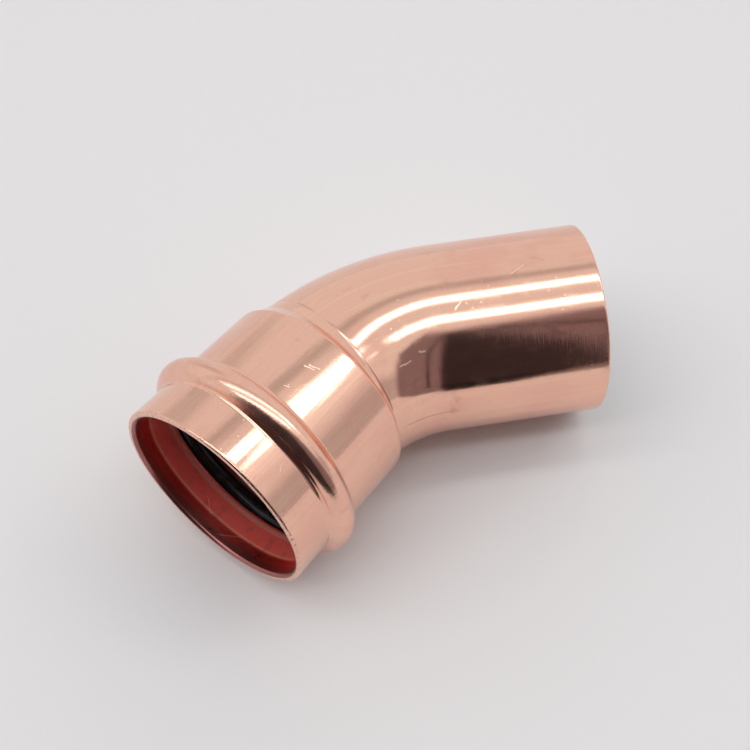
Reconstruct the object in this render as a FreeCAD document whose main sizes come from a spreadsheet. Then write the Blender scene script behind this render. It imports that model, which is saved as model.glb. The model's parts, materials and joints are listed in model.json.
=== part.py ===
import FreeCAD, Part
import math
import os
import Sketcher

# A 45 degree street elbow for press-fitted copper pipe, in millimetres.
#
# One end is a press socket: a straight guide, a raised bead that holds a rubber
# ring, and the rest of the socket up to the tube stop. The other end is a plain
# spigot of the pipe's own diameter, which goes into the next fitting's socket.
#
# The elbow is drawn with the spigot's axis on X and its end face at the origin,
# and the bend in the XY plane. It is then rolled about X until the bead and the
# spigot rest on one level floor, which is how a loose elbow lies.

SIZES = {
    "tube_diameter": 54.0,    # outside of the spigot and of the pipe it joins
    "tube_wall": 2.0,
    "bend_angle": 45.0,       # degrees
    "bend_radius": 54.2,      # to the tube's centre line
    "spigot_length": 42.3,    # straight part of the spigot
    "insertion_depth": 40.0,  # socket's mouth to its tube stop, where the bend begins
    "stop_wall": 3.4,         # tube stop to the foot of the shoulder
    "socket_wall": 2.2,
    "bore_clearance": 0.3,    # pipe to socket, on the radius
    "seal_position": 15.8,    # socket's mouth to the middle of the bead
    "seal_section": 4.4,      # rubber ring's thickness
    "seal_clearance": 0.1,    # pipe to rubber ring before pressing, on the radius
    "bead_wall": 1.6,
    "crease_round": 1.2,      # outside hollow each side of the bead
    "lip_round": 1.2,         # inside edge each side of the bead
    "shoulder_round": 1.6,
    "foot_depth": 1.0,        # how far the socket's foot reaches into the tube's wall
    "rim_round": 0.6,
    "rim_chamfer": 0.7,
    "end_round": 0.5,
    "end_chamfer": 0.5,
}

# Sizes that follow from the ones above, as expressions on the sheet.
DERIVED = {
    "tube_radius": "sizes.tube_diameter / 2",
    "waterway_radius": "sizes.tube_diameter / 2 - sizes.tube_wall",
    "bore_radius": "sizes.tube_diameter / 2 + sizes.bore_clearance",
    "socket_radius": "sizes.tube_diameter / 2 + sizes.bore_clearance + sizes.socket_wall",
    "seal_radius": "sizes.seal_section / 2",
    "seal_centre": "sizes.tube_diameter / 2 + sizes.seal_clearance + sizes.seal_section / 2",
    "bead_round": "sizes.seal_section / 2 + sizes.bead_wall",
    "foot_radius": "sizes.tube_diameter / 2 - sizes.foot_depth",
    "shoulder_position": "sizes.insertion_depth + sizes.stop_wall",
}

def make_sheet(doc):
    """Put the driving sizes into a sheet, one alias to each."""
    sheet = doc.addObject("Spreadsheet::Sheet", "sizes")
    for row, (name, value) in enumerate(SIZES.items(), start=1):
        sheet.set(f"A{row}", name)
        sheet.set(f"B{row}", str(value))
        sheet.setAlias(f"B{row}", name)
    doc.recompute()
    return sheet


def expression(name):
    """A size's expression: a cell of the sheet or a formula on its cells."""
    return DERIVED.get(name, f"sizes.{name}")


def value(sheet, name):
    """A size's number, worked out from the sheet as its expression says."""
    return float(sheet.evalExpression(expression(name)))


def line(sketch, start, end):
    """Add a straight edge and give its number."""
    segment = Part.LineSegment(FreeCAD.Vector(*start, 0), FreeCAD.Vector(*end, 0))
    return sketch.addGeometry(segment, False)


def arc(sketch, centre, radius, first, last):
    """Add an arc that runs anticlockwise between two angles in degrees."""
    circle = Part.Circle(FreeCAD.Vector(*centre, 0), FreeCAD.Vector(0, 0, 1), radius)
    curve = Part.ArcOfCircle(circle, math.radians(first), math.radians(last))
    return sketch.addGeometry(curve, False)


def join(sketch, kind, first, second):
    """Tie the two nearest ends of neighbouring edges together."""
    ends = [(a, b) for a in (1, 2) for b in (1, 2)]
    a, b = min(ends, key=lambda pair: gap(sketch, first, second, *pair))
    sketch.addConstraint(Sketcher.Constraint(kind, first, a, second, b))


def gap(sketch, first, second, first_end, second_end):
    """Distance between one end of an edge and one end of another."""
    point = sketch.getPoint(first, first_end)
    return point.distanceToPoint(sketch.getPoint(second, second_end))


def straighten(sketch, kind, edges):
    """Make edges Horizontal or Vertical."""
    for edge in edges:
        sketch.addConstraint(Sketcher.Constraint(kind, edge))


def bind(sketch, constraint, formula):
    """Add a dimension and drive it by a formula on the sheet."""
    index = sketch.addConstraint(constraint)
    sketch.setExpression(f"Constraints[{index}]", formula)


def bind_radius(sketch, edge, name, now):
    """Drive an arc's or circle's radius."""
    bind(sketch, Sketcher.Constraint("Radius", edge, now), expression(name))


def bind_x(sketch, edge, end, name, now):
    """Drive a point's distance from the sketch's vertical axis."""
    dimension = Sketcher.Constraint("DistanceX", -1, 1, edge, end, now)
    bind(sketch, dimension, expression(name))


def bind_y(sketch, edge, end, name, now):
    """Drive a point's distance from the sketch's horizontal axis."""
    dimension = Sketcher.Constraint("DistanceY", -1, 1, edge, end, now)
    bind(sketch, dimension, expression(name))


def add_sketch(body, name, role):
    """Attach a new sketch to one of the body's own origin planes."""
    plane = [part for part in body.Origin.OriginFeatures if part.Role == role][0]
    sketch = body.newObject("Sketcher::SketchObject", name)
    sketch.AttachmentSupport = [(plane, "")]
    sketch.MapMode = "FlatFace"
    return sketch


def revolve(body, sketch, name, axis, angle):
    """Turn a sketch's profile about an axis of the sketch."""
    turned = body.newObject("PartDesign::Revolution", name)
    turned.Profile = sketch
    turned.ReferenceAxis = (sketch, [axis])
    turned.Angle = 360.0
    if angle:
        turned.setExpression("Angle", angle)
    return turned


def socket_profile(sheet, sketch):
    """Draw the socket's wall, from its mouth at the sketch's origin inwards along X."""
    size = {name: value(sheet, name) for name in list(SIZES) + list(DERIVED)}
    bore, outside = size["bore_radius"], size["socket_radius"]
    seal_x, seal_y = size["seal_position"], size["seal_centre"]
    groove, crown = size["seal_radius"], size["bead_round"]
    crease, lip = size["crease_round"], size["lip_round"]
    shoulder, rounding = size["shoulder_position"], size["shoulder_round"]
    foot, stop = size["foot_radius"], size["insertion_depth"]
    rim, chamfer = size["rim_round"], size["rim_chamfer"]

    # Where the hollows beside the bead touch the socket, and the slope they end at.
    rise = outside + crease - seal_y
    reach = math.sqrt((crown + crease) ** 2 - rise ** 2)
    slope = math.degrees(math.atan2(rise, reach))
    front, back = seal_x - reach, seal_x + reach

    mouth = line(sketch, (0, bore + chamfer), (0, outside - rim))
    rim_arc = arc(sketch, (rim, outside - rim), rim, 90, 180)
    guide = line(sketch, (rim, outside), (front, outside))
    front_crease = arc(sketch, (front, outside + crease), crease, 270, 360 - slope)
    bead = arc(sketch, (seal_x, seal_y), crown, slope, 180 - slope)
    back_crease = arc(sketch, (back, outside + crease), crease, 180 + slope, 270)
    barrel = line(sketch, (back, outside), (shoulder - rounding, outside))
    shoulder_arc = arc(sketch, (shoulder - rounding, outside - rounding), rounding, 0, 90)
    shoulder_face = line(sketch, (shoulder, outside - rounding), (shoulder, foot))
    foot_line = line(sketch, (shoulder, foot), (stop, foot))
    stop_face = line(sketch, (stop, foot), (stop, bore))
    bore_line = line(sketch, (stop, bore), (seal_x + groove + lip, bore))
    back_lip = arc(sketch, (seal_x + groove + lip, bore + lip), lip, 180, 270)
    back_wall = line(sketch, (seal_x + groove, bore + lip), (seal_x + groove, seal_y))
    groove_arc = arc(sketch, (seal_x, seal_y), groove, 0, 180)
    front_wall = line(sketch, (seal_x - groove, seal_y), (seal_x - groove, bore + lip))
    front_lip = arc(sketch, (seal_x - groove - lip, bore + lip), lip, 270, 360)
    guide_bore = line(sketch, (seal_x - groove - lip, bore), (chamfer, bore))
    chamfer_line = line(sketch, (chamfer, bore), (0, bore + chamfer))

    straighten(sketch, "Vertical", [mouth, shoulder_face, stop_face, back_wall, front_wall])
    straighten(sketch, "Horizontal", [guide, barrel, foot_line, bore_line, guide_bore])

    skin = [mouth, rim_arc, guide, front_crease, bead, back_crease, barrel, shoulder_arc,
            shoulder_face]
    inside = [bore_line, back_lip, back_wall, groove_arc, front_wall, front_lip, guide_bore]
    for run in (skin, inside):
        for first, second in zip(run, run[1:]):
            join(sketch, "Tangent", first, second)
    for first, second in ((shoulder_face, foot_line), (foot_line, stop_face),
                          (stop_face, bore_line), (guide_bore, chamfer_line),
                          (chamfer_line, mouth)):
        join(sketch, "Coincident", first, second)

    sketch.addConstraint(Sketcher.Constraint("PointOnObject", mouth, 1, -2))
    sketch.addConstraint(Sketcher.Constraint("Coincident", bead, 3, groove_arc, 3))
    for edge, name in ((rim_arc, "rim_round"), (front_crease, "crease_round"),
                       (back_crease, "crease_round"), (bead, "bead_round"),
                       (shoulder_arc, "shoulder_round"), (back_lip, "lip_round"),
                       (front_lip, "lip_round"), (groove_arc, "seal_radius")):
        bind_radius(sketch, edge, name, size[name])
    for edge, end, name in ((groove_arc, 3, "seal_position"), (stop_face, 1, "insertion_depth"),
                            (shoulder_face, 1, "shoulder_position"),
                            (guide_bore, 2, "rim_chamfer")):
        bind_x(sketch, edge, end, name, size[name])
    for edge, end, name in ((guide, 1, "socket_radius"), (barrel, 1, "socket_radius"),
                            (foot_line, 1, "foot_radius"), (bore_line, 1, "bore_radius"),
                            (guide_bore, 1, "bore_radius"),
                            (groove_arc, 3, "seal_centre")):
        bind_y(sketch, edge, end, name, size[name])
    rim_height = Sketcher.Constraint("DistanceY", guide_bore, 2, mouth, 1, chamfer)
    bind(sketch, rim_height, expression("rim_chamfer"))


def tube_section(sheet, sketch):
    """Draw the tube's ring section and, as line 0, the bend's axis beside it."""
    radius = value(sheet, "bend_radius")
    half = value(sheet, "tube_radius")
    axis = line(sketch, (-radius, -half), (-radius, half))
    sketch.toggleConstruction(axis)
    straighten(sketch, "Vertical", [axis])
    offset = Sketcher.Constraint("DistanceX", axis, 1, -1, 1, radius)
    bind(sketch, offset, expression("bend_radius"))
    for end, sign in ((1, -1), (2, 1)):
        reach = Sketcher.Constraint("DistanceY", -1, 1, axis, end, sign * half)
        bind(sketch, reach, f"{sign} * ({expression('tube_radius')})")
    for name in ("tube_radius", "waterway_radius"):
        origin = FreeCAD.Vector(0, 0, 0)
        circle = Part.Circle(origin, FreeCAD.Vector(0, 0, 1), value(sheet, name))
        ring = sketch.addGeometry(circle, False)
        sketch.addConstraint(Sketcher.Constraint("Coincident", ring, 3, -1, 1))
        bind_radius(sketch, ring, name, value(sheet, name))


def spigot_profile(sheet, sketch):
    """Draw the spigot's wall, from its end at the sketch's origin back along -X."""
    tube, waterway = value(sheet, "tube_radius"), value(sheet, "waterway_radius")
    length = value(sheet, "spigot_length")
    rounding, chamfer = value(sheet, "end_round"), value(sheet, "end_chamfer")

    face = line(sketch, (0, waterway + chamfer), (0, tube - rounding))
    corner = arc(sketch, (-rounding, tube - rounding), rounding, 0, 90)
    outside = line(sketch, (-rounding, tube), (-length, tube))
    root = line(sketch, (-length, tube), (-length, waterway))
    inside = line(sketch, (-length, waterway), (-chamfer, waterway))
    chamfer_line = line(sketch, (-chamfer, waterway), (0, waterway + chamfer))

    straighten(sketch, "Vertical", [face, root])
    straighten(sketch, "Horizontal", [outside, inside])
    join(sketch, "Tangent", face, corner)
    join(sketch, "Tangent", corner, outside)
    for first, second in ((outside, root), (root, inside), (inside, chamfer_line),
                          (chamfer_line, face)):
        join(sketch, "Coincident", first, second)

    sketch.addConstraint(Sketcher.Constraint("PointOnObject", face, 1, -2))
    bind_radius(sketch, corner, "end_round", rounding)
    bind_y(sketch, root, 1, "tube_radius", tube)
    bind_y(sketch, root, 2, "waterway_radius", waterway)
    reach = Sketcher.Constraint("DistanceX", root, 1, -1, 1, length)
    bind(sketch, reach, expression("spigot_length"))
    depth = Sketcher.Constraint("DistanceX", inside, 2, -1, 1, chamfer)
    bind(sketch, depth, expression("end_chamfer"))
    height = Sketcher.Constraint("DistanceY", inside, 2, face, 1, chamfer)
    bind(sketch, height, expression("end_chamfer"))


def mouth_formulas():
    """The socket's mouth in the bend plane: X and Y of its centre, as formulas."""
    length = expression("insertion_depth")
    along = ("-(sizes.spigot_length + sizes.bend_radius * sin(sizes.bend_angle)"
             f" + ({length}) * cos(sizes.bend_angle))")
    across = ("-(sizes.bend_radius * (1 - cos(sizes.bend_angle))"
              f" + ({length}) * sin(sizes.bend_angle))")
    return along, across


def rest_angle(sheet):
    """Roll about the spigot's axis, in degrees, that brings the bead to the floor.

    The spigot touches the floor along its length, a tube's radius below its axis.
    The bead's ring is tilted to the floor, and its lowest point has to be level
    with that line. The condition is a quadratic in the sine of the roll.
    """
    angle = math.radians(value(sheet, "bend_angle"))
    sideways = (value(sheet, "bend_radius") * (1 - math.cos(angle))
                + (value(sheet, "insertion_depth") - value(sheet, "seal_position"))
                * math.sin(angle))
    ring = value(sheet, "seal_centre")
    lower = value(sheet, "tube_radius") - value(sheet, "bead_round")
    a = sideways ** 2 + (ring * math.sin(angle)) ** 2
    b = sideways * lower
    c = lower ** 2 - ring ** 2
    return math.degrees(math.asin((math.sqrt(b ** 2 - a * c) - b) / a))


def lying(sheet):
    """Placement that turns the drawn elbow into its resting place."""
    return FreeCAD.Placement(FreeCAD.Vector(0, 0, 0),
                             FreeCAD.Rotation(FreeCAD.Vector(1, 0, 0), -rest_angle(sheet)))


def make_elbow_body(doc, sheet):
    """The copper elbow, one piece: socket, bend and spigot in one wall."""
    body = doc.addObject("PartDesign::Body", "elbow_body")
    body.Label = "elbow_body"

    spigot = add_sketch(body, "spigot_wall", "XY_Plane")
    spigot_profile(sheet, spigot)
    revolve(body, spigot, "spigot", "H_Axis", None)

    section = add_sketch(body, "bend_section", "YZ_Plane")
    section.setExpression(".AttachmentOffset.Base.z", "-sizes.spigot_length")
    tube_section(sheet, section)
    revolve(body, section, "bend", "Axis0", expression("bend_angle"))

    wall = add_sketch(body, "socket_wall", "XY_Plane")
    along, across = mouth_formulas()
    wall.setExpression(".AttachmentOffset.Base.x", along)
    wall.setExpression(".AttachmentOffset.Base.y", across)
    wall.setExpression(".AttachmentOffset.Rotation.Angle", "sizes.bend_angle")
    socket_profile(sheet, wall)
    body.Tip = revolve(body, wall, "socket", "H_Axis", None)

    body.Placement = lying(sheet)
    return body


def make_seal_ring(doc, sheet):
    """The rubber ring, seated in the round crown of the bead's groove."""
    ring = doc.addObject("Part::Torus", "seal_ring")
    ring.Label = "seal_ring"
    ring.setExpression("Radius1", expression("seal_centre"))
    ring.setExpression("Radius2", expression("seal_radius"))

    along, across = mouth_formulas()
    mouth = FreeCAD.Vector(sheet.evalExpression(along), sheet.evalExpression(across), 0)
    turn = FreeCAD.Rotation(FreeCAD.Vector(0, 0, 1), value(sheet, "bend_angle"))
    inwards = turn.multVec(FreeCAD.Vector(1, 0, 0))
    facing = FreeCAD.Rotation(FreeCAD.Vector(0, 0, 1), inwards)
    place = FreeCAD.Placement(mouth + inwards * value(sheet, "seal_position"), facing)
    ring.Placement = lying(sheet).multiply(place)
    return ring


def check(doc, parts):
    """Stop if anything in the document failed or a part has no sound solid."""
    for item in doc.Objects:
        if {"Invalid", "Error"} & set(item.State):
            raise RuntimeError(f"{item.Label} failed: {item.State}")
    for part in parts:
        if part.Shape.isNull() or not part.Shape.isValid():
            raise RuntimeError(f"{part.Label} has no valid shape")
        if len(part.Shape.Solids) != 1:
            raise RuntimeError(f"{part.Label} is {len(part.Shape.Solids)} solids")


doc = FreeCAD.newDocument("pipe_elbow")
sheet = make_sheet(doc)
parts = [make_elbow_body(doc, sheet), make_seal_ring(doc, sheet)]
doc.recompute()
check(doc, parts)

os.makedirs("parts", exist_ok=True)
for part in parts:
    part.Shape.exportStep(f"parts/{part.Label}.step")
    box = part.Shape.BoundBox
    print(part.Label, f"{part.Shape.Volume:.1f} mm3,",
          f"X {box.XMin:.2f} to {box.XMax:.2f},",
          f"Y {box.YMin:.2f} to {box.YMax:.2f},",
          f"Z {box.ZMin:.2f} to {box.ZMax:.2f}")
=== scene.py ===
import json
import math

import bmesh
import bpy
from mathutils import Matrix, Vector


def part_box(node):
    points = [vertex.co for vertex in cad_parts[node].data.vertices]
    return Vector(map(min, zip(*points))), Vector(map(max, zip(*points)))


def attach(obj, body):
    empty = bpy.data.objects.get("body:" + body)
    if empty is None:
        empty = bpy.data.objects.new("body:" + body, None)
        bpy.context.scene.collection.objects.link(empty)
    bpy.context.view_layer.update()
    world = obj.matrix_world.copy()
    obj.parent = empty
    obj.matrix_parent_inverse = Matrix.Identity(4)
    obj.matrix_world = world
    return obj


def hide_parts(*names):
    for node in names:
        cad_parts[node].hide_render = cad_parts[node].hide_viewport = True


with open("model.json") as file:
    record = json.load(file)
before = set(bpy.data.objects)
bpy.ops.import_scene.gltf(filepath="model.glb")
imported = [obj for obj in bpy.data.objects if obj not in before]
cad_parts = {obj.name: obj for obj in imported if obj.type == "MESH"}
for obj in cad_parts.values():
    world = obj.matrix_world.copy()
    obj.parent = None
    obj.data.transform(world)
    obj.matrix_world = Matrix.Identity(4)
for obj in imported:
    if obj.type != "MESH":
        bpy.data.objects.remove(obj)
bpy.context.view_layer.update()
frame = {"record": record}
scene = bpy.context.scene
scene.view_settings.view_transform = "Standard"
MM = 0.001

# Camera: held a forearm's length above the elbow and in front of it, looking down
# on it at about 60 degrees, with a short telephoto lens and a slight tilt.
CAMERA_PLACE = Vector((-72.65, -142.2, 226.8)) * MM
CAMERA_AIM = Vector((-61.96, -9.2, 0.0)) * MM
CAMERA_TILT = math.radians(-4.37)
LENS, SENSOR_WIDTH, CLIP_START = 44.52, 36.0, 0.01
camera = bpy.data.objects.new("camera", bpy.data.cameras.new("camera"))
scene.collection.objects.link(camera)
scene.camera = camera
camera.data.lens = LENS
camera.data.sensor_width = SENSOR_WIDTH
camera.data.clip_start = CLIP_START
look = (CAMERA_AIM - CAMERA_PLACE).to_track_quat("-Z", "Y").to_matrix().to_4x4()
tilt = Matrix.Rotation(CAMERA_TILT, 4, "Z")
camera.matrix_world = Matrix.Translation(CAMERA_PLACE) @ look @ tilt


# Floor: a plain pale studio board under the elbow. It is level with the lowest
# line of the spigot, which the bead's crown also touches. In front of it lie two
# shade cards that only the copper's reflections see: the edge of the lit tent.
FLOOR_HALF = 3.0
FLOOR_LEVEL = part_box("elbow_body")[0].z
BOARD_WHITE, BOARD_ROUGHNESS, BOARD_GLOSS = (0.858, 0.850, 0.855, 1), 0.75, 0.15
CARD_LIFT, CARD_REACH, CARD_WARMTH = 1 * MM, -3.0, 0.85
# Each card: where its near edge starts and ends, how far forward that edge
# lies, where its far edge starts and ends, and how light it is.
SHADE_CARDS = {
    "dark_card": ((-0.45, 0.020), -0.245, (-2.6, 0.94), 0.02),
    "grey_card": ((0.021, 0.175), -0.285, (0.95, 3.9), 0.26),
}


def studio_board(name, half, centre):
    """A flat square board of the studio, facing up."""
    mesh = bmesh.new()
    bmesh.ops.create_grid(mesh, x_segments=1, y_segments=1, size=half)
    bmesh.ops.translate(mesh, vec=centre, verts=mesh.verts)
    board = bpy.data.objects.new(name, bpy.data.meshes.new(name))
    mesh.to_mesh(board.data)
    mesh.free()
    scene.collection.objects.link(board)
    finish = bpy.data.materials.new(name)
    finish.use_nodes = True
    board.data.materials.append(finish)
    return board, finish.node_tree.nodes["Principled BSDF"].inputs


_, board_finish = studio_board("floor", FLOOR_HALF, (0, 0, FLOOR_LEVEL))
board_finish["Base Color"].default_value = BOARD_WHITE
board_finish["Roughness"].default_value = BOARD_ROUGHNESS
board_finish["Specular IOR Level"].default_value = BOARD_GLOSS

for name, (near, near_front, far, shade) in SHADE_CARDS.items():
    card, card_finish = studio_board(name, 1.0, (0, 0, FLOOR_LEVEL + CARD_LIFT))
    for corner in card.data.vertices:
        left, front = corner.co.x < 0, corner.co.y < 0
        corner.co.x = (far if front else near)[0 if left else 1]
        corner.co.y = CARD_REACH if front else near_front
    warm_shade = (shade, shade * CARD_WARMTH, shade * CARD_WARMTH, 1)
    card_finish["Base Color"].default_value = warm_shade
    card_finish["Specular IOR Level"].default_value = 0.0
    card.visible_camera = card.visible_diffuse = card.visible_shadow = False


# Light: a white light tent with two rows of tubes along its ceiling, a side lamp and
# an open front, through which the dark room shows. Polished copper shows all of it,
# so it is painted on the sky by direction: x to the right, y to the back, z up.
def node(tree, kind, inputs=(), **settings):
    """Add one node, set its options, and link or fill its inputs."""
    made = tree.nodes.new("ShaderNode" + kind)
    for name, setting in settings.items():
        setattr(made, name, setting)
    for name, source in dict(inputs).items():
        if isinstance(source, bpy.types.NodeSocket):
            tree.links.new(source, made.inputs[name])
        else:
            made.inputs[name].default_value = source
    return made


def calc(tree, operation, first, second=0.0, clamp=False):
    """One step of arithmetic."""
    return node(tree, "Math", {0: first, 1: second}, operation=operation,
                use_clamp=clamp).outputs[0]


def fade(tree, source, start, end):
    """A smooth rise from 0 at start to 1 at end, or a fall where end is lower."""
    rising = end > start
    ramp = node(tree, "MapRange", {"Value": source, "From Min": min(start, end),
                                   "From Max": max(start, end),
                                   "To Min": 0.0 if rising else 1.0,
                                   "To Max": 1.0 if rising else 0.0},
                interpolation_type="SMOOTHSTEP")
    return ramp.outputs["Result"]


def band(tree, source, start, end, edge):
    """1 between two values, with soft edges."""
    return calc(tree, "MULTIPLY", fade(tree, source, start - edge, start + edge),
                fade(tree, source, end + edge, end - edge))


def tint(tree, below, colour, mask, share=1.0):
    """Lay a colour over another where the mask is 1."""
    if share != 1.0:
        mask = calc(tree, "MULTIPLY", mask, share)
    mixed = node(tree, "Mix", {"Factor": mask}, data_type="RGBA")
    for name, source in (("A", below), ("B", colour)):
        socket = [s for s in mixed.inputs if s.name == name and s.type == "RGBA"][0]
        if isinstance(source, bpy.types.NodeSocket):
            tree.links.new(source, socket)
        else:
            socket.default_value = (*source, 1)
    return [s for s in mixed.outputs if s.type == "RGBA"][0]


def dim(light, mask, share):
    """Take a share of the light away where the mask is 1."""
    kept = calc(sky, "SUBTRACT", 1.0, calc(sky, "MULTIPLY", mask, share))
    return calc(sky, "MULTIPLY", light, kept)


WALL_LIGHT, TUBE_LIGHT, SMALL_LAMP_SHARE, GLOW_LIGHT = 1.0, 3.6, 0.4, 0.28
# The shares of light that the darker parts of the tent and the room take away.
DUSKY_TOP, DUSKY_BACK, DUSKY_RIGHT = 0.34, 0.24, 0.36
DIM_ROOM, OPEN_FRONT, DARK_SEAM = 0.70, 0.84, 0.97
TENT_WHITE, ROOM_TINT = (0.8, 0.8, 0.8), (0.8, 0.64, 0.70)
BACKDROP = (0.765, 0.76, 0.77, 1)
scene.world = bpy.data.worlds.new("light_tent")
scene.world.use_nodes = True
sky = scene.world.node_tree
sky.nodes.clear()
facing = node(sky, "TexCoord").outputs["Generated"]
to_right, to_back, upwards = node(sky, "SeparateXYZ", {0: facing}).outputs
ceiling = calc(sky, "MAXIMUM", upwards, 0.02)
back_slope = calc(sky, "SUBTRACT", calc(sky, "DIVIDE", to_back, ceiling), 0.02)
side_slope = calc(sky, "DIVIDE", to_right, ceiling)
from_zenith = calc(sky, "DEGREES", calc(sky, "ARCCOSINE", upwards))
from_front = calc(sky, "DEGREES",
                  calc(sky, "ARCTAN2", to_right, calc(sky, "MULTIPLY", to_back, -1.0)))


def lamp(back, back_edge, sides, side_edge):
    """A patch of the ceiling, by its slopes to the back and to the right."""
    return calc(sky, "MULTIPLY", band(sky, back_slope, *back, back_edge),
                band(sky, side_slope, *sides, side_edge))


def panel(turned, left, right, edge, high, low):
    """A patch of the wall, by its turn from the front and where it starts in height."""
    return calc(sky, "MULTIPLY", band(sky, turned, left, right, edge),
                fade(sky, from_zenith, high, low))


def lean_below(height, slope):
    """How far an edge leans sideways, by its height above a level, in degrees."""
    above = calc(sky, "MAXIMUM", calc(sky, "SUBTRACT", height, from_zenith), 0.0)
    return calc(sky, "MULTIPLY", above, slope)


tube_rows = lamp((0.15, 0.27), 0.03, (-1.2, 0.70), 0.08)
front_row = lamp((-0.28, -0.145), 0.03, (-1.2, 0.57), 0.05)
side_lamp = lamp((0.02, 0.28), 0.05, (0.70, 1.06), 0.07)
small_lamp = lamp((-0.22, -0.17), 0.02, (0.80, 0.90), 0.04)
side_glow = lamp((-0.20, 0.30), 0.14, (0.75, 1.55), 0.25)
faint_lamp = calc(sky, "MULTIPLY", small_lamp, SMALL_LAMP_SHARE)
lamps = calc(sky, "MAXIMUM", calc(sky, "MAXIMUM", tube_rows, front_row),
             calc(sky, "MAXIMUM", side_lamp, faint_lamp))
lamps = calc(sky, "MULTIPLY", lamps, fade(sky, upwards, 0.1, 0.3))

wall = calc(sky, "ADD", WALL_LIGHT, calc(sky, "MULTIPLY", side_glow, GLOW_LIGHT))
wall = dim(wall, band(sky, back_slope, 0.47, 0.64, 0.08), DUSKY_TOP)
wall = dim(wall, panel(from_front, 52.0, 84.0, 6.0, 58.0, 72.0), DUSKY_RIGHT)
dusky_back = calc(sky, "MULTIPLY", band(sky, from_front, -166.0, -146.0, 5.0),
                  band(sky, from_zenith, 55.0, 85.0, 8.0))
wall = dim(wall, dusky_back, DUSKY_BACK)
# The room shows wider lower down: its right edge leans outwards from the ceiling.
leaning = calc(sky, "ADD", from_front, lean_below(45.0, 0.80))
room_sides = calc(sky, "MULTIPLY", fade(sky, leaning, 56.0, 50.0),
                  fade(sky, from_front, -76.0, -70.0))
wide_front = calc(sky, "MULTIPLY", room_sides, fade(sky, from_zenith, 22.0, 32.0))
wall = dim(wall, wide_front, DIM_ROOM)
wall = dim(wall, panel(from_front, -64.0, 17.3, 1.0, 24.0, 32.0), OPEN_FRONT)
# A dark seam of the tent runs down the room, and slants where it nears the ceiling.
slanting = calc(sky, "ADD", from_front, lean_below(48.0, 0.39))
wall = dim(wall, panel(slanting, 26.6, 28.7, 0.3, 25.0, 29.0), DARK_SEAM)
shine = calc(sky, "ADD", wall, calc(sky, "MULTIPLY", lamps, TUBE_LIGHT))

# The room in front is warm and dim, and the tent itself is plain white.
tent_colour = tint(sky, TENT_WHITE, ROOM_TINT, wide_front)
tent_light = node(sky, "Background", {"Color": tent_colour, "Strength": shine})
plain_backdrop = node(sky, "Background", {"Color": BACKDROP})
seen_directly = node(sky, "LightPath").outputs["Is Camera Ray"]
choose = node(sky, "MixShader", {0: seen_directly, 1: tent_light.outputs[0],
                                 2: plain_backdrop.outputs[0]})
node(sky, "OutputWorld", {"Surface": choose.outputs[0]})


# Elbow body: one length of 54 mm copper tube, bent to 45 degrees, with its end
# swaged up into a socket and rolled outwards into the bead that holds the seal.
# It is turned as a straight piece from its wall's outline, and then bent.
TUBE, WALL = 27.0 * MM, 2.0 * MM
BORE, SOCKET_WALL = 27.3 * MM, 2.2 * MM
BEND_ANGLE, BEND_RADIUS = math.radians(45.0), 54.2 * MM
SPIGOT_LENGTH, STOP_DEPTH = 42.3 * MM, 40.0 * MM
SEAL_POSITION, SEAL_SECTION, SEAL_CLEARANCE = 15.8 * MM, 4.4 * MM, 0.1 * MM
BEAD_WALL, CREASE_ROUND, LIP_ROUND = 1.6 * MM, 1.2 * MM, 1.2 * MM
SHOULDER_START, SHOULDER_SLOPE = 41.4 * MM, 35
SHOULDER_ROUND, FOOT_ROUND, STOP_ROUND = 0.9 * MM, 1.2 * MM, 0.8 * MM
NECK_END, NECK_RISE, NECK_CREASE = 47.4 * MM, 0.40 * MM, 0.12 * MM
RIM_ROUND, RIM_CHAMFER, END_ROUND, END_CHAMFER = 0.6 * MM, 0.7 * MM, 0.5 * MM, 0.5 * MM
MOUTH_TO_MOUNT = 30.0 * MM
ROUND_STEPS, BEND_STEP = 240, 1.2 * MM
BEND_LENGTH = BEND_RADIUS * BEND_ANGLE
FULL_LENGTH = STOP_DEPTH + BEND_LENGTH + SPIGOT_LENGTH

press_socket = [m for m in frame["record"]["mounts"] if m["name"] == "press_socket"][0]
outwards = Vector(press_socket["axis"]).normalized()
roll = Matrix.Rotation(-math.atan2(outwards.z, -outwards.y), 4, "X")
mouth = roll.inverted() @ (Vector(press_socket["pos_m"]) + outwards * MOUTH_TO_MOUNT)
bend_centre = Vector((-SPIGOT_LENGTH, -BEND_RADIUS, 0.0))
socket_place = Matrix.Translation(mouth) @ Matrix.Rotation(BEND_ANGLE, 4, "Z")


def bow(centre_x, centre_y, radius, first, last, steps):
    """Points along an arc of the wall's outline, between two angles in degrees."""
    sweep = [math.radians(first + (last - first) * i / steps) for i in range(steps + 1)]
    return [(centre_x + radius * math.cos(a), centre_y + radius * math.sin(a)) for a in sweep]


def run(start, end, step):
    """Points along a straight stretch of the outline, close enough to bend well."""
    steps = max(1, math.ceil(math.dist(start, end) / step))
    return [(start[0] + (end[0] - start[0]) * i / steps,
             start[1] + (end[1] - start[1]) * i / steps) for i in range(steps + 1)]


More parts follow.
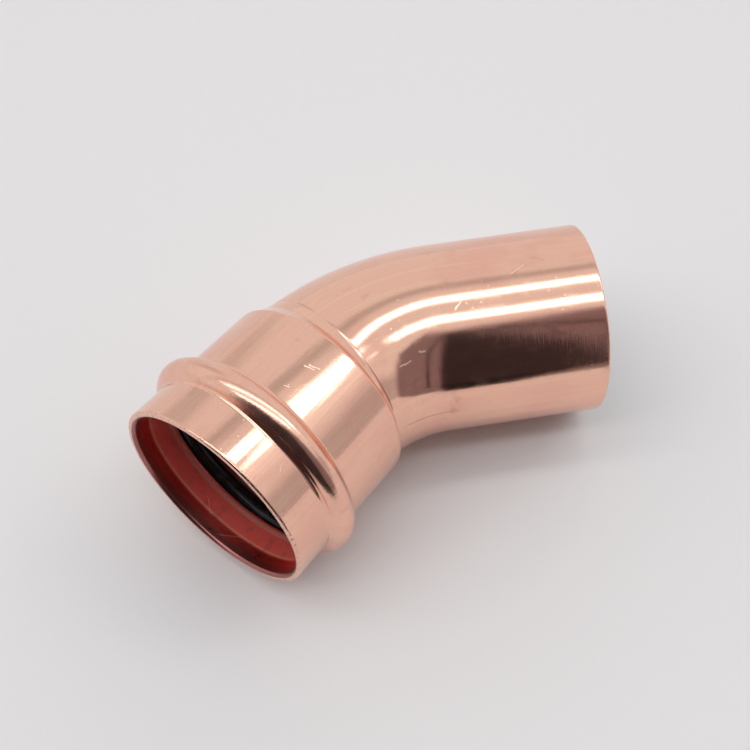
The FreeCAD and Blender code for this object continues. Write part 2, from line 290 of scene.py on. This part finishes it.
def wall_outline():
    """The wall's whole outline: the waterway, the socket's bore, the mouth and the outside."""
    outside, seal_y = BORE + SOCKET_WALL, TUBE + SEAL_CLEARANCE + SEAL_SECTION / 2
    groove, crown = SEAL_SECTION / 2, SEAL_SECTION / 2 + BEAD_WALL
    rise = outside + CREASE_ROUND - seal_y
    reach = math.sqrt((crown + CREASE_ROUND) ** 2 - rise ** 2)
    slope = math.degrees(math.atan2(rise, reach))
    waterway = TUBE - WALL
    lip_back, lip_front = SEAL_POSITION + groove + LIP_ROUND, SEAL_POSITION - groove - LIP_ROUND
    # The shoulder slopes down between its two rounds.
    shoulder_y, foot_y = outside - SHOULDER_ROUND, TUBE + NECK_RISE + FOOT_ROUND
    lean, both = math.radians(SHOULDER_SLOPE), SHOULDER_ROUND + FOOT_ROUND
    foot = (SHOULDER_START + both * math.sin(lean)
            + (shoulder_y - foot_y + both * math.cos(lean)) / math.tan(lean))
    pieces = [
        run((FULL_LENGTH - END_CHAMFER, waterway), (STOP_DEPTH + STOP_ROUND, waterway),
            BEND_STEP),
        bow(STOP_DEPTH + STOP_ROUND, waterway + STOP_ROUND, STOP_ROUND, 270, 180, 6),
        [(STOP_DEPTH, BORE - 0.4 * MM), (STOP_DEPTH - 0.4 * MM, BORE)],
        bow(lip_back, BORE + LIP_ROUND, LIP_ROUND, 270, 180, 8),
        bow(SEAL_POSITION, seal_y, groove, 0, 180, 20),
        bow(lip_front, BORE + LIP_ROUND, LIP_ROUND, 360, 270, 8),
        [(RIM_CHAMFER, BORE)],
        bow(RIM_ROUND / 2, BORE + RIM_CHAMFER + RIM_ROUND / 4, RIM_ROUND / 2, 225, 180, 3),
        bow(RIM_ROUND, outside - RIM_ROUND, RIM_ROUND, 180, 90, 6),
        bow(SEAL_POSITION - reach, outside + CREASE_ROUND, CREASE_ROUND, 270, 360 - slope, 8),
        bow(SEAL_POSITION, seal_y, crown, 180 - slope, slope, 32),
        bow(SEAL_POSITION + reach, outside + CREASE_ROUND, CREASE_ROUND, 180 + slope, 270, 8),
        bow(SHOULDER_START, shoulder_y, SHOULDER_ROUND, 90, 90 - SHOULDER_SLOPE, 5),
        bow(foot, foot_y, FOOT_ROUND, 270 - SHOULDER_SLOPE, 262, 5),
        [(NECK_END - 0.3 * MM, TUBE + 0.04 * MM), (NECK_END, TUBE - NECK_CREASE),
         (NECK_END + 0.3 * MM, TUBE - 0.01 * MM)],
        run((NECK_END + 0.8 * MM, TUBE), (FULL_LENGTH - END_ROUND - 0.4 * MM, TUBE), BEND_STEP),
        bow(FULL_LENGTH - END_ROUND, TUBE - END_ROUND, END_ROUND, 90, 0, 6),
        [(FULL_LENGTH, waterway + END_CHAMFER)],
    ]
    outline = []
    for piece in pieces:
        if outline:
            gap = math.dist(outline[-1], piece[0])
            if gap < 1e-7:
                piece = piece[1:]
            elif gap > 2 * MM:
                # Loops just inside each end of a long straight keep its shading flat.
                near = 0.25 * MM / gap
                last, first = outline[-1], piece[0]
                for share in (near, 0.35, 0.65, 1 - near):
                    outline.append((last[0] + (first[0] - last[0]) * share,
                                    last[1] + (first[1] - last[1]) * share))
        outline.extend(piece)
    return outline


def turn(mesh, outline):
    """Turn a closed outline round the X axis into a closed shell, with its faces outwards."""
    points = [mesh.verts.new((x, y, 0)) for x, y in outline]
    edges = [mesh.edges.new(pair) for pair in zip(points, points[1:] + points[:1])]
    bmesh.ops.spin(mesh, geom=points + edges, cent=(0, 0, 0), axis=(1, 0, 0), dvec=(0, 0, 0),
                   angle=2 * math.pi, steps=ROUND_STEPS, use_merge=True)
    bmesh.ops.recalc_face_normals(mesh, faces=mesh.faces)
    for face in mesh.faces:
        face.smooth = True


def bent(place):
    """Where a point of the straight piece lies once the tube is bent past the tube stop."""
    past = place.x - STOP_DEPTH
    if past <= 0:
        return socket_place @ place
    if past > BEND_LENGTH:
        return Vector((past - BEND_LENGTH - SPIGOT_LENGTH, place.y, place.z))
    left = BEND_ANGLE - past / BEND_RADIUS
    arm = BEND_RADIUS + place.y
    tube = bend_centre + Vector((-math.sin(left) * arm, math.cos(left) * arm, place.z))
    # The shoulder stands square to the socket, and its foot follows the tube.
    square = min(max((math.hypot(place.y, place.z) - TUBE) / (BORE + SOCKET_WALL - TUBE), 0), 1)
    return tube.lerp(socket_place @ place, square)


shell = bmesh.new()
turn(shell, wall_outline())

# Inside the mouth the metal kept its annealing stain, so those faces take a
# second finish. The patterns follow the tube, so each point keeps its place in
# the straight piece: the way along it from the mouth, and the two ways across.
for face in shell.faces:
    middle = face.calc_center_median()
    across = Vector((0, middle.y, middle.z)).normalized()
    stop_face = middle.x < STOP_DEPTH + STOP_ROUND and face.normal.x < -0.5
    inwards = face.normal.dot(across) < -0.02
    face.material_index = int(inwards or (stop_face and middle.x > STOP_DEPTH / 2))
along_tube = shell.verts.layers.float_vector.new("along_tube")
for vert in shell.verts:
    vert[along_tube] = vert.co.copy()
    vert.co = bent(vert.co)
bmesh.ops.transform(shell, matrix=roll, verts=shell.verts)
elbow = bpy.data.objects.new("elbow_shell", bpy.data.meshes.new("elbow_shell"))
shell.to_mesh(elbow.data)
shell.free()
scene.collection.objects.link(elbow)


# Marks: what drawing, rolling, handling and dust leave on the copper and on the
# rubber. Each is a group that reads a place in millimetres and gives a mask.
def marks_group(name, inputs, output):
    """Start a group of mark nodes, with its place and its named sizes."""
    group = bpy.data.node_groups.new(name, "ShaderNodeTree")
    group.interface.new_socket("Place", in_out="INPUT", socket_type="NodeSocketVector")
    for label, usual in inputs.items():
        socket = group.interface.new_socket(label, in_out="INPUT", socket_type="NodeSocketFloat")
        socket.default_value = usual
    group.interface.new_socket(output, in_out="OUTPUT", socket_type="NodeSocketFloat")
    given = group.nodes.new("NodeGroupInput").outputs
    result = group.nodes.new("NodeGroupOutput").inputs[output]
    return group, given, result


drag_lines, given, result = marks_group("drag_lines", {"Along": 0.02, "Across": 0.8}, "Lines")
stretch = node(drag_lines, "CombineXYZ", {0: given["Along"], 1: given["Across"],
                                          2: given["Across"]}).outputs[0]
stretched = node(drag_lines, "VectorMath", {0: given["Place"], 1: stretch}, operation="MULTIPLY")
grain = node(drag_lines, "TexNoise", {"Vector": stretched.outputs[0], "Scale": 1.0,
                                      "Detail": 3.0, "Roughness": 0.6})
drag_lines.links.new(grain.outputs[0], result)

specks, given, result = marks_group("specks", {"Spacing": 3.0, "Size": 0.15, "Share": 0.3},
                                    "Mask")
cells = node(specks, "TexVoronoi", {"Vector": given["Place"],
                                    "Scale": calc(specks, "DIVIDE", 1.0, given["Spacing"])})
away = calc(specks, "DIVIDE", calc(specks, "MULTIPLY", cells.outputs["Distance"],
                                   given["Spacing"]), given["Size"])
drawn = node(specks, "SeparateXYZ", {0: cells.outputs["Color"]}).outputs[0]
spot = calc(specks, "SUBTRACT", 1.0, away, clamp=True)
specks.links.new(calc(specks, "MULTIPLY", spot, calc(specks, "LESS_THAN", drawn,
                                                     given["Share"])), result)

scratch, given, result = marks_group("scratch", {"Along": 0.0, "Around": 0.0, "Lean": 0.0,
                                                 "Length": 5.0, "Width": 0.15}, "Mask")
place_x, place_y, place_z = node(scratch, "SeparateXYZ", {0: given["Place"]}).outputs
girth = calc(scratch, "SQRT", calc(scratch, "ADD", calc(scratch, "MULTIPLY", place_y, place_y),
                                   calc(scratch, "MULTIPLY", place_z, place_z)))
around = calc(scratch, "DEGREES", calc(scratch, "ARCTAN2", place_y, place_z))
aside = calc(scratch, "MULTIPLY", calc(scratch, "SUBTRACT", around, given["Around"]),
             calc(scratch, "MULTIPLY", girth, math.radians(1)))
ahead = calc(scratch, "SUBTRACT", place_x, given["Along"])
lean = calc(scratch, "RADIANS", given["Lean"])
lean_cos, lean_sin = calc(scratch, "COSINE", lean), calc(scratch, "SINE", lean)
down_it = calc(scratch, "ADD", calc(scratch, "MULTIPLY", ahead, lean_cos),
               calc(scratch, "MULTIPLY", aside, lean_sin))
off_it = calc(scratch, "SUBTRACT", calc(scratch, "MULTIPLY", aside, lean_cos),
              calc(scratch, "MULTIPLY", ahead, lean_sin))
shake = node(scratch, "TexNoise", {"Vector": given["Place"], "Scale": 0.6, "Detail": 1.0})
off_it = calc(scratch, "ADD", off_it, calc(scratch, "SUBTRACT", shake.outputs[0], 0.5))
width_mask = calc(scratch, "SUBTRACT", 1.0, calc(scratch, "DIVIDE", calc(
    scratch, "ABSOLUTE", off_it), given["Width"]), clamp=True)
half_length = calc(scratch, "MULTIPLY", given["Length"], 0.5)
length_mask = calc(scratch, "DIVIDE", calc(scratch, "SUBTRACT", half_length, calc(
    scratch, "ABSOLUTE", down_it)), calc(scratch, "MULTIPLY", half_length, 0.3), clamp=True)
scratch.links.new(calc(scratch, "MULTIPLY", width_mask, length_mask), result)


def mark(tree, group, place, **sizes):
    """Put a group of marks into a finish, and give its mask."""
    made = tree.nodes.new("ShaderNodeGroup")
    made.node_tree = group
    tree.links.new(place, made.inputs["Place"])
    for label, size in sizes.items():
        made.inputs[label].default_value = size
    return made.outputs[0]


def total(tree, *shares):
    """Add up a plain number and pairs of a mask and its weight."""
    amount = shares[0]
    for mask, weight in shares[1:]:
        amount = node(tree, "Math", {0: mask, 1: weight, 2: amount},
                      operation="MULTIPLY_ADD").outputs[0]
    return amount


def start_finish(name):
    """A new material, its nodes, and its shader's inputs."""
    finish = bpy.data.materials.new(name)
    finish.use_nodes = True
    return finish, finish.node_tree, finish.node_tree.nodes["Principled BSDF"].inputs


def place_in_mm(tree):
    """A point's place in the straight piece, in millimetres."""
    kept = node(tree, "Attribute", attribute_name="along_tube").outputs["Vector"]
    return node(tree, "VectorMath", {0: kept, "Scale": 1000.0}, operation="SCALE").outputs[0]


def raise_by(tree, height, distance, below=None):
    """Bump the surface by a height from 0 to 1, at its full depth in millimetres."""
    inputs = {"Height": height, "Distance": distance * MM, "Strength": 1.0}
    if below is not None:
        inputs["Normal"] = below
    return node(tree, "Bump", inputs).outputs[0]


# Outside finish: bright drawn copper. The socket shows long drag lines from its
# swage, the spigot fine rings from its sizing die, and the bead the grain of the
# rolled bulge, with a few stains, scuff marks and nicks from handling. Painted light
# is on it too: sparkle specks and two glints painted bright, and painted shade in a
# patch and a crease on the bend's inside.
SOCKET_TO_NECK, BEAD_FROM_TO = (46.0, 42.0), (11.4, 20.4)  # mm from the mouth
BEND_TO_SPIGOT = (60.0, 84.0)
BRIGHT_COPPER, ROSY_COPPER = (0.925, 0.550, 0.415), (0.900, 0.500, 0.385)
PALE_COPPER, DULL_COPPER = (0.955, 0.610, 0.440), (0.800, 0.440, 0.330)
# The second colour is painted shade for a patch on the bend's inside.
STAIN_BROWN, SHADE_PATCH_BROWN = (0.740, 0.390, 0.290), (0.620, 0.290, 0.230)
# The first colour is painted shade, near black, for the crease down the bend's inside.
FOLD_SHADE_BLACK, SPECK_BROWN = (0.330, 0.140, 0.100), (0.400, 0.190, 0.140)
# The second colour is painted sparkle: bright specks that stand for tiny glints.
NICK_BROWN, PAINTED_SPARKLE = (0.420, 0.210, 0.160), (1.000, 0.740, 0.600)
# Fresh metal colours the real scuff marks, and also the two painted glints in the bend.
FRESH_METAL_AND_GLINT = (1.000, 0.800, 0.680)
# Each scuff and painted glint: its place along and around the tube, its lean, length
# and width. The two in the bend, at 62 and 70.5 mm along, are painted glints.
SCUFFS_AND_GLINTS = (
    (32.0, -20.0, -73, 3.1, 0.24), (33.1, -21.5, -73, 3.3, 0.24),
    (24.3, -19.0, -63, 1.6, 0.10), (86.3, -25.5, 47, 3.6, 0.20),
    (38.3, -27.0, 80, 1.2, 0.18), (8.0, -44.0, 35, 2.4, 0.12),
    (62.0, -50.3, 1, 7.0, 0.26), (70.5, -47.3, -5, 3.6, 0.50),
    (104.0, -8.0, 30, 6.0, 0.09), (29.0, 60.0, 20, 7.0, 0.12),
    (96.0, 95.0, -35, 9.0, 0.12), (27.0, 165.0, 62, 8.0, 0.12),
    (70.0, 140.0, 15, 11.0, 0.10),
)
drawn_copper, metal, shader = start_finish("drawn_copper")
place = place_in_mm(metal)
along = node(metal, "SeparateXYZ", {0: place}).outputs[0]
on_socket = fade(metal, along, *SOCKET_TO_NECK)
on_bead = band(metal, along, *BEAD_FROM_TO, 0.9)
on_spigot = fade(metal, along, *BEND_TO_SPIGOT)
long_lines = mark(metal, drag_lines, place, Along=0.015, Across=0.55)
fine_lines = mark(metal, drag_lines, place, Along=0.05, Across=2.2)
die_rings = mark(metal, drag_lines, place, Along=2.6, Across=0.16)
clouds = mark(metal, drag_lines, place, Along=0.035, Across=0.06)
waves = mark(metal, drag_lines, place, Along=0.05, Across=0.05)
blots = mark(metal, drag_lines, place, Along=0.16, Across=0.22)
grain = mark(metal, drag_lines, place, Along=2.0, Across=2.0)
dark_specks = mark(metal, specks, place, Spacing=4.5, Size=0.22, Share=0.30)
# Painted sparkle: bright specks painted into the colour, slightly raised in the bump.
sparkle_specks = mark(metal, specks, place, Spacing=1.3, Size=0.18, Share=0.20)
handled = fade(metal, blots, 0.52, 0.66)
stains = fade(metal, blots, 0.60, 0.72)
rim_nicks = calc(metal, "MULTIPLY", fade(metal, along, 1.1, 0.3),
                 fade(metal, mark(metal, drag_lines, place, Along=1.3, Across=1.5), 0.56, 0.64))
scuff_and_glint_marks = [mark(metal, scratch, place, Along=where, Around=side, Lean=turned, Length=length,
               Width=width) for where, side, turned, length, width in SCUFFS_AND_GLINTS]
scuff_and_glint_mask = scuff_and_glint_marks[0]
for more in scuff_and_glint_marks[1:]:
    scuff_and_glint_mask = calc(metal, "MAXIMUM", scuff_and_glint_mask, more)
# A crease down the bend's inside: a slight groove in the bump, with painted shade in its
# near-black colour.
fold_and_shade = mark(metal, scratch, place, Along=68.5, Around=-89.5, Lean=-3, Length=36.0, Width=0.24)
# A darker brown patch at the bend's inside end: painted shade, blotchy at its edges, and
# rougher.
shade_patch = mark(metal, scratch, place, Along=82.0, Around=-86.0, Lean=62, Length=8.0, Width=3.2)
shade_patch = calc(metal, "MULTIPLY", shade_patch, fade(metal, blots, 0.35, 0.55))
socket_lines = calc(metal, "MULTIPLY", fade(metal, fine_lines, 0.50, 0.70), on_socket)
spigot_rings = calc(metal, "MULTIPLY", die_rings, on_spigot)

colour = tint(metal, BRIGHT_COPPER, ROSY_COPPER, fade(metal, clouds, 0.45, 0.62))
for layer, mask, share in (
        (PALE_COPPER, fade(metal, long_lines, 0.5, 0.7), 0.45), (STAIN_BROWN, stains, 0.32),
        (DULL_COPPER, fade(metal, grain, 0.50, 0.72), 0.28), (DULL_COPPER, socket_lines, 0.30),
        (SHADE_PATCH_BROWN, shade_patch, 0.55), (FOLD_SHADE_BLACK, fold_and_shade, 0.70),
        (SPECK_BROWN, dark_specks, 0.50), (PAINTED_SPARKLE, sparkle_specks, 0.55),
        (NICK_BROWN, rim_nicks, 0.65), (FRESH_METAL_AND_GLINT, scuff_and_glint_mask, 0.75)):
    colour = tint(metal, colour, layer, mask, share)
metal.links.new(colour, shader["Base Color"])
shader["Metallic"].default_value = 1.0
metal.links.new(total(metal, 0.055, (fine_lines, 0.05), (on_bead, 0.10), (handled, 0.05),
                      (spigot_rings, 0.04), (scuff_and_glint_mask, 0.30), (shade_patch, 0.15),
                      (rim_nicks, 0.25)), shader["Roughness"])
relief = raise_by(metal, waves, 0.05)
relief = raise_by(metal, calc(metal, "MULTIPLY", long_lines, on_socket), 0.030, relief)
relief = raise_by(metal, spigot_rings, 0.0065, relief)
rolled_grain = calc(metal, "MULTIPLY", grain, total(metal, 0.60, (on_bead, 0.4)))
relief = raise_by(metal, rolled_grain, 0.011, relief)
relief = raise_by(metal, total(metal, 0.0, (scuff_and_glint_mask, 1.0), (sparkle_specks, 0.8), (fold_and_shade, -0.6),
                               (rim_nicks, -1.0)), 0.03, relief)
metal.links.new(relief, shader["Normal"])
elbow.data.materials.append(drawn_copper)


# Inside finish: the bore and the waterway, dull red from annealing, with the
# swage's lines round the bore and darker brown next to the mouth. Painted light
# inside: a painted reflection ring, a painted highlight on the lip and painted
# shadow deep in the bore.
RED_OXIDE, ROSE_OXIDE = (0.960, 0.125, 0.105), (0.860, 0.155, 0.120)
MOUTH_BROWN, SCALE_BROWN = (0.270, 0.155, 0.145), (0.380, 0.110, 0.095)
PIT_BROWN, BORE_SHADOW = (0.180, 0.070, 0.060), (0.060, 0.020, 0.018)
# The first colour is a painted reflection. The second is bare copper in real scratches, and also
# the painted highlight on the lip.
REFLECTION_ORANGE, BARE_COPPER_AND_LIP_HIGHLIGHT = (0.960, 0.450, 0.300), (0.980, 0.430, 0.320)
annealed, oxide, shader = start_finish("annealed_bore")
place = place_in_mm(oxide)
along = node(oxide, "SeparateXYZ", {0: place}).outputs[0]
bore_lines = mark(oxide, drag_lines, place, Along=1.4, Across=0.10)
scale_spots = mark(oxide, drag_lines, place, Along=0.35, Across=0.35)
pits = mark(oxide, specks, place, Spacing=2.2, Size=0.35, Share=0.35)
by_mouth = fade(oxide, along, 4.2, 1.8)
# An orange ring 5.5 to 6 mm into the bore: painted reflection of the far rim.
painted_reflection_ring = band(oxide, along, 5.5, 6.0, 0.35)
red_zone = fade(oxide, along, 4.6, 6.2)
# The lip just before the seal: painted highlight, an orange band for the shine on its round, a
# little more metallic.
lip = band(oxide, along, 11.2, 12.4, 0.4)
deep = fade(oxide, along, 12.8, 14.2)
scored = [mark(oxide, scratch, place, Along=where, Around=side, Lean=turned, Length=length,
               Width=0.2) for where, side, turned, length in ((4.0, 172.0, 60, 9.0),
                                                              (6.5, 150.0, -50, 6.0))]
scored = calc(oxide, "MAXIMUM", *scored)
colour = tint(oxide, RED_OXIDE, ROSE_OXIDE, bore_lines)
for layer, mask, share in (
        (MOUTH_BROWN, by_mouth, 0.85), (REFLECTION_ORANGE, painted_reflection_ring, 0.80),
        (SCALE_BROWN, fade(oxide, scale_spots, 0.52, 0.70), 0.45), (PIT_BROWN, pits, 0.35),
        (BARE_COPPER_AND_LIP_HIGHLIGHT, calc(oxide, "MAXIMUM", lip, scored), 0.80), (BORE_SHADOW, deep, 0.92)):
    colour = tint(oxide, colour, layer, mask, share)
oxide.links.new(colour, shader["Base Color"])
oxide.links.new(total(oxide, 1.0, (red_zone, -0.68), (lip, 0.20)), shader["Metallic"])
oxide.links.new(total(oxide, 0.20, (bore_lines, 0.10), (scale_spots, 0.10), (pits, 0.2),
                      (red_zone, 0.08)), shader["Roughness"])
relief = raise_by(oxide, bore_lines, 0.008)
relief = raise_by(oxide, total(oxide, 0.0, (scale_spots, 1.0), (pits, -1.0), (scored, 1.0)),
                  0.02, relief)
oxide.links.new(relief, shader["Normal"])
elbow.data.materials.append(annealed)

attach(elbow, "root")
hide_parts("elbow_body")


# Seal ring: a moulded EPDM ring in the bead's groove, with the fine flash line that
# its mould leaves round its inside.
FLASH_HEIGHT, FLASH_STEPS = 0.09 * MM, 64
seal = bmesh.new()
seal_y = TUBE + SEAL_CLEARANCE + SEAL_SECTION / 2
ring_round = bow(0, 0, SEAL_SECTION / 2, 0, 360, FLASH_STEPS)[:-1]
ridges = {FLASH_STEPS * 3 // 4: 1 + FLASH_HEIGHT / (SEAL_SECTION / 2)}
turn(seal, [(SEAL_POSITION + x * ridges.get(i, 1.0), seal_y + y * ridges.get(i, 1.0))
            for i, (x, y) in enumerate(ring_round)])
along_tube = seal.verts.layers.float_vector.new("along_tube")
for vert in seal.verts:
    vert[along_tube] = vert.co.copy()
bmesh.ops.transform(seal, matrix=roll @ socket_place, verts=seal.verts)
ring = bpy.data.objects.new("rubber_seal", bpy.data.meshes.new("rubber_seal"))
seal.to_mesh(ring.data)
seal.free()
scene.collection.objects.link(ring)

RUBBER_BLACK, BLOOM_GREY = (0.010, 0.010, 0.011), (0.028, 0.027, 0.028)
DUST_GREY, RUBBER_GLOSS = (0.120, 0.110, 0.105), 0.22
black_epdm, gum, shader = start_finish("black_epdm")
place = place_in_mm(gum)
mould_lines = mark(gum, drag_lines, place, Along=1.8, Across=0.12)
bloom = mark(gum, drag_lines, place, Along=0.25, Across=0.25)
dust = mark(gum, specks, place, Spacing=1.6, Size=0.14, Share=0.30)
colour = tint(gum, RUBBER_BLACK, BLOOM_GREY, fade(gum, bloom, 0.45, 0.68))
colour = tint(gum, colour, DUST_GREY, dust, 0.6)
gum.links.new(colour, shader["Base Color"])
shader["Specular IOR Level"].default_value = RUBBER_GLOSS
gum.links.new(total(gum, 0.14, (mould_lines, 0.10), (bloom, 0.16), (dust, 0.3)),
              shader["Roughness"])
relief = raise_by(gum, mould_lines, 0.02)
relief = raise_by(gum, bloom, 0.05, relief)
gum.links.new(relief, shader["Normal"])
ring.data.materials.append(black_epdm)
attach(ring, "root")
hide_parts("seal_ring")
